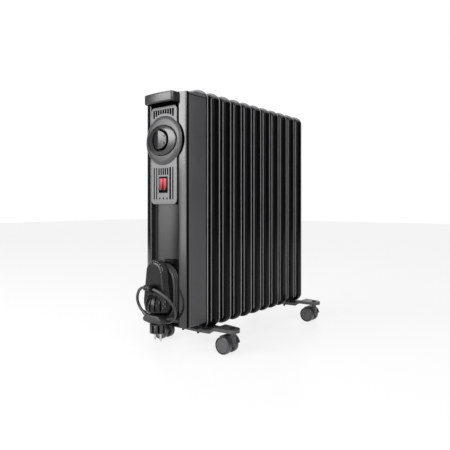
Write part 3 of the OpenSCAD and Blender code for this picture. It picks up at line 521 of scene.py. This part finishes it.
# --- Control panel ---
# A moulded tray with a slightly bowed face. Slots let the heat of the controls out above
# and below the round boss; the walls and floors of the slots and the sides of the tray are painted
# black as their shade.
panel_half, panel_low, panel_high = 0.045, 0.370, 0.610
panel_x, panel_sag, panel_corner, panel_edge = -0.2575, 0.0006, 0.012, 0.0022
dial_z, switch_z = 0.526, 0.418
# Slots by middle, low end, high end and width: nine over the boss, five over the switch,
# four tall ones and three small holes round it, and the opening that the switch needs.
fan_top, fan_r, slot_depth = 0.6025, 0.066, 0.009
slots = [(y, dial_z + sqrt(fan_r ** 2 - y ** 2), fan_top, 0.0060)
         for y in (0.0082 * i for i in range(-4, 5))]
slots += [(0.0075 * i, switch_z + 0.024, 0.459, 0.0044) for i in range(-2, 3)]
slots += [(y, 0.382, 0.460, width) for y, width in (
    (-0.0325, 0.0038), (-0.0235, 0.0056), (0.0235, 0.0038), (0.0325, 0.0038))]
slots += [(0.0125 * i, 0.382, 0.3865, 0.0045) for i in (-1, 0, 1)]
slots.append((0, switch_z - 0.0192, switch_z + 0.0192, 0.0284))
panel_plastic = surface("panel_plastic", (0.145, 0.1455, 0.148), 0.38, 1300, 0.0002, gloss=0.22)
# Black for painted shade in slots, gaps, grooves and hollows, and also for the knob's own two
# marks.
painted_shade_and_mark_black = surface("painted_shade_and_mark_black", (0.001, 0.001, 0.001), 0.9, 900, 0.0001, gloss=0.0)


def in_slot(spot):
    """True for a place on the panel's face that lies in a slot."""
    return any(abs(spot.y - y) < width / 2 and low < spot.z < high for y, low, high, width in slots)


bm = bmesh.new()
block(bm, (panel_x, -panel_half, panel_low), (floor_x, panel_half, panel_high),
      panel_corner, 8, only=0)
soften(bm, pick(bm, lambda e: at_x(e, panel_x)), panel_edge, 4)
for y, low, high, width in slots:
    for place, way in (((0, y - width / 2, 0), (0, 1, 0)), ((0, y + width / 2, 0), (0, 1, 0)),
                       ((0, 0, low), (0, 0, 1)), ((0, 0, high), (0, 0, 1))):
        near = [f for f in bm.faces if f.normal.x < -0.99 and
                abs(f.calc_center_median().z - (low + high) / 2) < 0.2]
        cut(bm, place, way, near)
cells = [f for f in bm.faces if f.normal.x < -0.99 and in_slot(f.calc_center_median())]
# The slot floors get the painted shade.
second(cells)
push(bm, cells, (slot_depth, 0, 0))
drop(bm, cells)
outward(bm)
# The tray's sides and the slots' walls get the painted shade.
second(f for f in bm.faces if abs(f.normal.x) < 0.3)
for v in bm.verts:
    if v.co.x < floor_x - 0.002:
        v.co.x += panel_sag * (v.co.y / panel_half) ** 2
show("control_panel_face", bm, [panel_plastic, painted_shade_and_mark_black], "heater", "panel_plastic",
     "control_panel")

# --- Boss and dial plate ---
# The round boss is moulded with the panel and falls away at its rim; it is painted darker than the
# panel as painted shade, and its wall behind the foot is painted black as shade. The oval dial
# plate snaps on its front, its inner and outer edges are painted black as the shade of the lines
# round it, and its centre rises to a ring.
boss_x, boss_foot = -0.262, 0.0066
# The boss is painted darker than the panel it is moulded with: painted shade against the light its
# dome catches.
boss_painted_shade_plastic = surface("boss_painted_shade_plastic", (0.040, 0.0405, 0.042), 0.32, 1300, 0.0001, gloss=0.40)


def turned(bm, profile, centre, axis, steps):
    """Spins pairs of radius and height round an axis, and closes the poles."""
    axis = Vector(axis)
    side = axis.orthogonal().normalized()
    points = [bm.verts.new(Vector(centre) + side * r + axis * h) for r, h in profile]
    edges = [bm.edges.new(pair) for pair in zip(points, points[1:])]
    bmesh.ops.spin(bm, geom=points + edges, cent=centre, axis=axis, angle=2 * pi,
                   steps=steps, use_merge=True)
    bmesh.ops.remove_doubles(bm, verts=bm.verts, dist=2e-6)
    outward(bm)


bm = bmesh.new()
turned(bm, [(0, 0), (0.048, 0), (0.052, -0.0004), (0.0555, -0.0014), (0.0583, -0.0028),
            (0.0603, -0.0043), (0.0614, -0.0055), (0.0618, -0.0064), (0.0618, -0.0076),
            (0.0642, -0.0076), (0.0642, -0.0155), (0, -0.0155)],
       (boss_x, 0, dial_z), (-1, 0, 0), 96)
# The boss's wall behind its foot is painted black: painted shade.
second(f for f in bm.faces if f.calc_center_median().x > boss_x + boss_foot)
show("panel_boss", bm, [boss_painted_shade_plastic, painted_shade_and_mark_black], "heater", "panel_plastic")

# The plate is turned as a disc; beyond its round cone it is stretched sideways to an oval.
dial_w, dial_h, cone_r, cone_ease = 0.049, 0.0365, 0.029, 0.005
dial_inner, dial_outer = 0.0277, 0.0363
dial_plastic = surface("dial_plastic", (0.016, 0.0162, 0.017), 0.26, 1300, 0.0001, gloss=0.58)
bm = bmesh.new()
turned(bm, [(0.0248, -0.0003), (0.0274, -0.0003), (0.0274, 0.0052), (0.0280, 0.0058),
            (0.0290, 0.0056), (0.0325, 0.0040), (0.0348, 0.0029), (0.0357, 0.0023),
            (0.0362, 0.0014), (0.0364, -0.0002), (0.0378, -0.0002), (0.0378, 0.0004),
            (0.0364, 0.0004)],
       (boss_x, 0, dial_z), (-1, 0, 0), 96)


def off_dial(spot):
    """How far a place is from the dial's axis."""
    return sqrt(spot.y ** 2 + (spot.z - dial_z) ** 2)


# The plate's inner and outer edges are painted black: painted shade of the lines round it.
second(f for f in bm.faces if not dial_inner <= off_dial(f.calc_center_median()) <= dial_outer)
for v in bm.verts:
    r = off_dial(v.co)
    if r > cone_r:
        v.co.y *= 1 + (dial_w / dial_h - 1) * min(1, (r - cone_r) / cone_ease)
outward(bm)
show("dial_ring", bm, [dial_plastic, painted_shade_and_mark_black], "heater", "panel_plastic", "dial_plate")

# --- Thermostat knob ---
# A moulded knob with two slanting finger faces that meet in a ridge. A skirt runs round its
# foot, painted black as the shade of the gap round the knob, and two short black marks stand on its
# right hand face.
knob_back, knob_tip, ridge_half, knob_edge = -0.2663, -0.2752, 0.0012, 0.0010
finger_slope, mark_turn, mark_lean = (-0.0210, 0.0062), radians(-16.5), radians(28)
mark_place, mark_size, mark_z = (-0.27110, -0.0150), (0.0006, 0.0068, 0.0026), 0.0095
knob_plastic = surface("knob_plastic", (0.014, 0.014, 0.015), 0.24, 1300, 0.0001)
bm = bmesh.new()
turned(bm, [(0, 0), (0.0254, 0), (0.0254, 0.0022), (0.0246, 0.0028), (0.0226, 0.0028), (0, 0.0028)],
       (knob_back, 0, dial_z), (-1, 0, 0), 72)
# The skirt is painted black: painted shade of the gap round the knob.
second(bm.faces)
skirt = set(bm.verts)
turned(bm, [(0, 0.0030), (0.0224, 0.0030), (0.0222, 0.0180), (0, 0.0180)],
       (knob_back, 0, dial_z), (-1, 0, 0), 72)
for side in (-1, 1):
    cap = list({f for v in bm.verts if v not in skirt for f in v.link_faces})
    slant = Vector((finger_slope[0], side * finger_slope[1], 0)).normalized()
    cut(bm, (knob_tip, side * ridge_half, dial_z), slant, cap, clear=True)
    bmesh.ops.contextual_create(bm, geom=pick(bm, lambda e: e.is_boundary))
outward(bm)
soften(bm, pick(bm, lambda e: len(e.link_faces) == 2 and e.calc_face_angle(0) > radians(14)
                and e.link_faces[0].material_index == 0
                and e.verts[0].co.x < knob_back - 0.0035), knob_edge)
for side in (-1, 1):
    lean = Matrix.Rotation(mark_turn, 4, "Z") @ Matrix.Rotation(side * mark_lean, 4, "X")
    mark = bmesh.ops.create_cube(bm, size=1)["verts"]
    bmesh.ops.transform(
        bm, verts=mark, matrix=Matrix.Translation((*mark_place, dial_z + side * mark_z))
        @ lean @ Matrix.Diagonal((*mark_size, 1)))
    second({f for v in mark for f in v.link_faces})
show("knob_cap", bm, [knob_plastic, painted_shade_and_mark_black], "knob", "knob_plastic", "thermostat_knob")

# --- Switch ---
# A black snap-in frame with two rockers side by side. The rockers are clear red plastic with a
# glow lamp behind them, which a faint glow stands for; their upper halves are painted paler than
# their lower ones, a painted highlight.
frame_front, frame_back, frame_half_y, frame_half_z = -0.2595, -0.2540, 0.0150, 0.020
frame_edge, frame_rim, frame_deep, rocker_edge = 0.0016, 0.0012, 0.0105, 0.0014
switch_plastic = surface("switch_plastic", (0.003, 0.003, 0.003), 0.6, 900, 0.0001, gloss=0.06)
bm = bmesh.new()
block(bm, (frame_front, -frame_half_y, switch_z - frame_half_z),
      (frame_back, frame_half_y, switch_z + frame_half_z), frame_edge)
front = [f for f in bm.faces if f.normal.x < -0.99]
bmesh.ops.inset_individual(bm, faces=front, thickness=frame_rim, depth=0)
push(bm, front, (frame_deep, 0, 0))
drop(bm, front)
outward(bm)
show("switch_frame", bm, [switch_plastic], "heater", "switch_plastic", "switch_body")

# Heights over which the painted highlight runs from deep red to pale.
highlight_low, highlight_high = 0.402, 0.434
rocker_red = bpy.data.materials.new("rocker_red")
rocker_red.use_nodes = True
nodes, links = rocker_red.node_tree.nodes, rocker_red.node_tree.links
base = nodes["Principled BSDF"].inputs
base["Roughness"].default_value = 0.38
base["Specular IOR Level"].default_value = 0.18
base["Emission Strength"].default_value = 0.25
where = nodes.new("ShaderNodeTexCoord").outputs["Object"]
parts = nodes.new("ShaderNodeSeparateXYZ")
links.new(where, parts.inputs[0])
height = nodes.new("ShaderNodeMapRange")
height.inputs["From Min"].default_value = highlight_low
height.inputs["From Max"].default_value = highlight_high
links.new(parts.outputs["Z"], height.inputs["Value"])
clouds = nodes.new("ShaderNodeTexNoise")
clouds.inputs["Scale"].default_value = 160
links.new(where, clouds.inputs["Vector"])
stir = nodes.new("ShaderNodeMath")
stir.operation = "MULTIPLY_ADD"
stir.inputs[1].default_value = 0.25
links.new(clouds.outputs["Fac"], stir.inputs[0])
links.new(height.outputs["Result"], stir.inputs[2])
# The ramp paints the highlight: deep red below, pale pink at the top, in both colour and glow.
tint = nodes.new("ShaderNodeValToRGB")
deep, pale = tint.color_ramp.elements
deep.position, deep.color = 0.16, (0.016, 0.0002, 0.0006, 1)
pale.position, pale.color = 1.0, (0.30, 0.055, 0.070, 1)
tint.color_ramp.elements.new(0.5).color = (0.14, 0.003, 0.008, 1)
links.new(stir.outputs[0], tint.inputs[0])
links.new(tint.outputs[0], base["Base Color"])
links.new(tint.outputs[0], base["Emission Color"])

# Each rocker's section from the side, round its pin; at rest both are tipped back.
rocker_pin, rocker_tip, rocker_near, rocker_far = -0.2505, radians(8), 0.0011, 0.0130
rocker_section = [(-0.0110, 0.0146), (-0.0098, 0.0070), (-0.0095, 0), (-0.0098, -0.0070),
                  (-0.0111, -0.0156), (-0.0020, -0.0130), (0.0040, 0), (-0.0020, 0.0122)]
for hand, side in (("left", 1), ("right", -1)):
    low, high = sorted((side * rocker_near, side * rocker_far))
    bm = bmesh.new()
    plate(bm, [(x, low, z) for x, z in rocker_section], (0, high - low, 0))
    outward(bm)
    soften(bm, pick(bm, lambda e: e.calc_face_angle(0) > radians(20)
                    and e.verts[0].co.x < -0.009), rocker_edge)
    turn = Matrix.Translation((rocker_pin, 0, switch_z)) @ Matrix.Rotation(rocker_tip, 4, "Y")
    bmesh.ops.transform(bm, verts=bm.verts, matrix=turn)
    show(f"rocker_cap_{hand}", bm, [rocker_red], f"{hand}_rocker", "rocker_red", f"rocker_{hand}")

# --- Nose grip ---
# A moulded visor over the panel, bowed at the front and rounded at both ends. It is hollow
# below, where the fingers go; the inside of the hollow and a block behind the visor are painted
# black as shade.
nose_front, nose_back, nose_half, nose_bow = -0.2805, -0.2530, 0.0495, 0.004
nose_low, nose_tall, hollow_tall, nose_wall = 0.6155, 0.024, 0.018, 0.0025
nose_end, nose_edge = 0.007, 0.003
shade_block_low, shade_block_high, shade_block_edge = (-0.2540, -0.0478, 0.6040), (-0.2392, 0.0478, 0.6300), 0.001
nose_plastic = surface("nose_plastic", (0.014, 0.014, 0.015), 0.30, 1300, 0.0001)
bm = bmesh.new()
outline = [(nose_back, nose_half)]
for k in range(13):
    y = nose_half * (1 - k / 6)
    outline.append((nose_front + nose_bow * (y / nose_half) ** 2, y))
outline.append((nose_back, -nose_half))
plate(bm, [(x, y, nose_low) for x, y in outline], (0, 0, nose_tall))
outward(bm)
soften(bm, pick(bm, lambda e: along(e, 2) and abs(e.verts[0].co.y) > nose_half - 0.0005
                and e.verts[0].co.x < -0.26), nose_end, 7)
soften(bm, pick(bm, lambda e: abs(e.verts[0].co.z - e.verts[1].co.z) < 1e-6
                and min(v.co.x for v in e.verts) < nose_back - 0.0005), nose_edge, 4)
below = [f for f in bm.faces if f.normal.z < -0.99]
bmesh.ops.inset_region(bm, faces=below, thickness=nose_wall, depth=0)
push(bm, below, (0, 0, hollow_tall))
drop(bm, below)
outward(bm)
# The hollow's roof and walls are painted black: painted shade.
for face in bm.faces:
    if face.normal.z < -0.99 and face.calc_center_median().z > nose_low + 0.0045:
        second({other for edge in face.edges for other in edge.link_faces})
visor = set(bm.faces)
# A black block behind the visor: painted shade for the dark above the top of the panel.
block(bm, shade_block_low, shade_block_high, shade_block_edge, 2)
second(set(bm.faces) - visor)
show("nose_visor", bm, [nose_plastic, painted_shade_and_mark_black], "heater", "grip_plastic", "nose_grip")

# --- Cord winder ---
# The hub is closed by an egg shaped cover, domed at the front, with two rows of small studs
# round its edge, painted pale as a painted highlight. A hood bulges from its lower half over the
# parked plug; its narrow slots are black strips of painted shade.
hub_x, cover_front, cover_foot, cover_roll, cover_base = -0.2705, -0.2905, 0.113, 0.0105, 0.0025
hood_r, hood_z = 0.035, 0.125
hood_place = Vector((hub_x, 0, hood_z))
slit_turns, slit_angle, slit_r, slit_wall = (-60, -38, -16, 6, 28, 50), 6, 0.0352, 0.0015
stud_r, studs_above, stud_rows = 0.0012, 0.120, ((0.0068, 0.0009, 0), (0.0028, 0.0034, 1))
winder_plastic = surface("winder_plastic", (0.008, 0.008, 0.0085), 0.22, 1100, 0.0001, gloss=0.24)
winder_rim = surface("winder_rim", (0.020, 0.020, 0.021), 0.42, 330, 0.0012, gloss=0.3)
# Pale studs: a painted highlight for their glints.
stud_painted_highlight = surface("stud_painted_highlight", (0.22, 0.22, 0.225), 0.36, 900, 0.0001)


def egg(inset=0.0):
    """The cover's outline, or one inside it: a small arc above and a larger one below."""
    lean = radians(8.1)
    top_r, top_z, foot_r, foot_z = 0.031 - inset, 0.205, 0.040 - inset, 0.135
    top = [lean + (pi - 2 * lean) * k / 20 for k in range(21)]
    foot = [pi - lean + (pi + 2 * lean) * k / 24 for k in range(25)]
    return [(r * cos(a), z + r * sin(a))
            for r, z, arc in ((top_r, top_z, top), (foot_r, foot_z, foot)) for a in arc]


def from_hood(face):
    """From the middle of the hood's ball to a face."""
    return face.calc_center_median() - hood_place


bm = bmesh.new()
plate(bm, [(hub_x, y, z) for y, z in egg()], (cover_front - hub_x, 0, 0))
outward(bm)
soften(bm, pick(bm, lambda e: at_x(e, cover_front)), cover_roll, 7)
second(f for f in bm.faces if f.calc_center_median().x > cover_front + 0.0075
       and abs(f.normal.x) < 0.5)
cut(bm, (0, 0, cover_foot), (0, 0, -1), clear=True)
bmesh.ops.contextual_create(bm, geom=pick(bm, lambda e: e.is_boundary))
plate(bm, [(hub_x, y, z) for y, z in egg()], (-cover_base, 0, 0))
ball = bmesh.ops.create_uvsphere(bm, u_segments=64, v_segments=40, radius=hood_r)["verts"]
bmesh.ops.translate(bm, verts=ball, vec=hood_place)
outward(bm)
cut(bm, hood_place, (1, 0, 0), list({f for v in ball for f in v.link_faces}), clear=True)
hood = [f for f in bm.faces if hood_r - 0.0015 < from_hood(f).length < hood_r + 0.0002]
cut(bm, (0, 0, cover_foot), (0, 0, -1), hood, clear=True)
shell = set(bm.faces)
for inset, depth, odd in stud_rows:
    for k, (y, z) in enumerate(egg(inset)):
        if z > studs_above and k % 2 == odd:
            stud = bmesh.ops.create_icosphere(bm, subdivisions=1, radius=stud_r)["verts"]
            bmesh.ops.translate(bm, verts=stud, vec=(cover_front + depth, y, z))
# The studs take the painted highlight.
for face in set(bm.faces) - shell:
    face.material_index = 2
outward(bm)
show("winder_shell", bm, [winder_plastic, winder_rim, stud_painted_highlight], "heater", "winder_plastic",
     "winder_cover")

# The hood's slots are black strips laid on it: painted shade for the dark inside them.
bm = bmesh.new()
for turn in slit_turns:
    arc = [bm.verts.new((hub_x - slit_r * cos(radians(a)), 0, hood_z + slit_r * sin(radians(a))))
           for a in range(-14, 44, 6)]
    edges = [bm.edges.new(pair) for pair in zip(arc, arc[1:])]
    bmesh.ops.rotate(bm, verts=arc, cent=hood_place,
                     matrix=Matrix.Rotation(radians(turn - slit_angle / 2), 3, "Z"))
    bmesh.ops.spin(bm, geom=arc + edges, cent=hood_place, axis=(0, 0, 1),
                   angle=radians(slit_angle), steps=2)
outward(bm)
for face in bm.faces:
    if face.normal.dot(from_hood(face)) < 0:
        face.normal_flip()
slot_shade_strips = show("hood_slot_painted_shade", bm, [painted_shade_and_mark_black], "heater", "winder_plastic")
skin(slot_shade_strips, slit_wall)

# --- Plug and cord tie ---
# An angled plug parked under the hood: a round base with finger grooves, painted black as their
# shade, and a flat fan shaped head. The loop of cord is held above it by a strap with three ribs
# beside it.
plug_x, plug_y, plug_low, groove_deep = -0.289, -0.014, 0.065, 0.0012
head_half, head_edge, entry_r, entry_tip_r = 0.012, 0.003, 0.0062, 0.0048
strap_low, strap_high, strap_edge = (-0.3086, -0.0135, 0.1615), (-0.2905, -0.0045, 0.1770), 0.0012
rib_x, rib_z, rib_r, rib_half = -0.304, 0.1706, 0.0047, 0.0019
rib_rows, rib_level, rib_stretch = (0.0005, 0.0075, 0.0145), 0.1720, 0.45
plug_plastic = surface("plug_plastic", (0.014, 0.014, 0.015), 0.34, 1000, 0.0003)


def round_plug(spot):
    """From the plug's axis straight out to a place."""
    return Vector((spot.x - plug_x, spot.y - plug_y, 0))


bm = bmesh.new()
turned(bm, [(0, 0), (0.0180, 0), (0.0190, 0.0004), (0.0195, 0.0014), (0.0195, 0.0198),
            (0.0190, 0.0207), (0, 0.021)], (plug_x, plug_y, plug_low), (0, 0, 1), 48)
walls = [f for f in bm.faces if abs(f.normal.z) < 0.05]
walls.sort(key=lambda f: round_plug(f.calc_center_median()).xy.angle_signed(Vector((1, 0))))
grooves = [f for k, f in enumerate(walls) if k % 6 in (0, 1)]
# The grooves are painted black: painted shade.
second(grooves)
for face in grooves:
    for v in face.verts:
        out = round_plug(v.co)
        if out.length > 0.0192:
            v.co -= out.normalized() * groove_deep
base = set(bm.verts)
fan = [(-0.033, 0.086), (0.005, 0.086), (0.024, 0.089), (0.029, 0.095), (0.020, 0.105),
       (0.008, 0.106), (-0.024, 0.106), (-0.033, 0.098)]
plate(bm, [(plug_x - head_half, y, z) for y, z in fan], (2 * head_half, 0, 0))
outward(bm)
soften(bm, pick(bm, lambda e: e.verts[0] not in base and len(e.link_faces) == 2
                and e.calc_face_angle(0) > radians(20)), head_edge, 4)
rod(bm, (plug_x, 0.016, 0.0954), (plug_x, 0.0365, 0.1074), entry_r, 24, end_r=entry_tip_r)
show("plug_shell", bm, [plug_plastic, painted_shade_and_mark_black], "heater", "plug_plastic", "plug_body")

bm = bmesh.new()
block(bm, strap_low, strap_high, strap_edge)
second(bm.faces)
for y in rib_rows:
    for v in rod(bm, (rib_x, y - rib_half, rib_z), (rib_x, y + rib_half, rib_z), rib_r, 24):
        v.co.z += rib_stretch * (v.co.z - rib_level)
show("cord_strap", bm, [plug_plastic, switch_plastic], "heater", "winder_plastic", "cord_tie")

# --- Casters ---
# Each caster has two moulded wheels on one axle with a gap between them and a guard over
# them. A wheel's outer face is a shallow disc inside a raised tread ring; the ring between them is
# painted black as shade.
axle_y, axle_z, wheel_gap = 0.111, 0.022, 0.007
disc_r, tread_r, disc_out = 0.0176, 0.0189, 0.015
corners = {"fl": (-0.1465, 1), "fr": (-0.1465, -1), "rl": (0.2765, 1), "rr": (0.2765, -1)}
wheel_profile = [
    (0, 0.0003), (0.0030, 0.0003), (0.0204, 0), (0.0216, 0.0005), (0.0220, 0.0018),
    (0.0220, 0.0112), (0.0214, 0.0128), (0.0200, 0.0141), (0.0190, 0.0143), (0.0184, 0.0136),
    (0.0176, 0.0134), (0.0120, 0.0141), (0.0055, 0.0145), (0.0045, 0.0150), (0, 0.0150),
]
wheel_plastic = surface("wheel_plastic", (0.060, 0.060, 0.063), 0.30, 900, 0.0002)
for corner, (x, side) in corners.items():
    for which, way in (("a", -1), ("b", 1)):
        bm = bmesh.new()
        turned(bm, wheel_profile, (x + way * wheel_gap, side * axle_y, axle_z), (way, 0, 0), 56)
        # The ring between the disc and the tread is painted black: painted shade.
        for face in bm.faces:
            spot = face.calc_center_median()
            r = sqrt((spot.y - side * axle_y) ** 2 + (spot.z - axle_z) ** 2)
            if disc_r < r < tread_r and abs(spot.x - x) > disc_out:
                face.material_index = 1
        wheel = f"wheel_{corner}_{which}"
        show(f"wheel_shell_{corner}_{which}", bm, [wheel_plastic, painted_shade_and_mark_black], wheel,
             "wheel_plastic", wheel)

# --- Parts kept as built, each in its own finish ---
# Sheet steel in satin paint, moulded plastic with a fine spark grain, and small parts in
# bright or black zinc plate, as they come from the press and the mould.
foot_paint = surface("foot_paint", (0.050, 0.050, 0.052), 0.36, 520, 0.0002)
caster_plastic = surface("caster_plastic", (0.036, 0.036, 0.038), 0.34, 900, 0.0002)
zinc = surface("zinc_plate", (0.55, 0.55, 0.57), 0.34, 900, 0.0001, metal=1.0)
black_zinc = surface("black_zinc", (0.008, 0.008, 0.009), 0.5, 900, 0.0001, gloss=0.15)
ceramic = surface("ceramic", (0.78, 0.75, 0.68), 0.5, 600, 0.0001)
gasket = surface("gasket", (0.2, 0.08, 0.06), 0.6, 600, 0.0001)
wire_cover = surface("wire_cover", (0.42, 0.22, 0.06), 0.45, 900, 0.0001)
for finish, names in (
    (winder_plastic, ["winder_hub", "cord_gland"]),
    (foot_paint, ["front_foot", "rear_foot"]),
    (caster_plastic, [f"hood_{c}" for c in corners]),
    (zinc, ["heat_shield", "heating_element", "oil_filler_plug", "thermostat_shaft",
            "thermostat_screws", "housing_screws", "plug_pins"] + [f"axle_{c}" for c in corners]),
    (black_zinc, ["u_bolts", "wing_nuts", "caster_stems"]),
    (ceramic, ["thermostat_body", "terminal_block", "thermal_cutout"]),
    (gasket, ["element_gasket"]),
    (wire_cover, ["inner_wires"]),
):
    for name in names:
        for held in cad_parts[name].material_slots:
            held.material = finish
